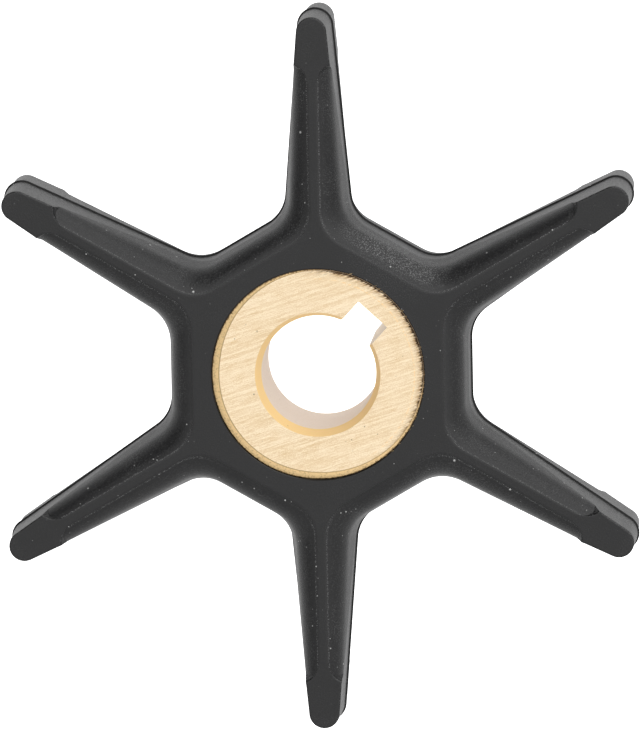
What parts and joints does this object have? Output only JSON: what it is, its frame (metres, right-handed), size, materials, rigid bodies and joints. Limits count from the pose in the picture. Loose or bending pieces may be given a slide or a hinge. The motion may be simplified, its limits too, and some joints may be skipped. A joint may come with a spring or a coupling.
{
  "type": "flexible pump impeller",
  "caption": "Flexible pump impeller: straight rubber vanes with flat tip pads on a faceted hub, bonded to a brass insert with a keyed bore.",
  "frame": {"origin": "on the bore's axis, at the level of the lower face", "axes": "+Z along the bore towards the end with the long lead-in; +Y along one vane"},
  "size_m": [0.0656, 0.0752, 0.012],
  "materials": {
    "rubber": "satin black moulded rubber with a parting line at mid height",
    "brass": "pale brass with linished end faces and a machined bore"
  },
  "bodies": {
    "root": {"rubber_impeller": "rubber", "brass_insert": "brass"}
  },
  "joints": []
}
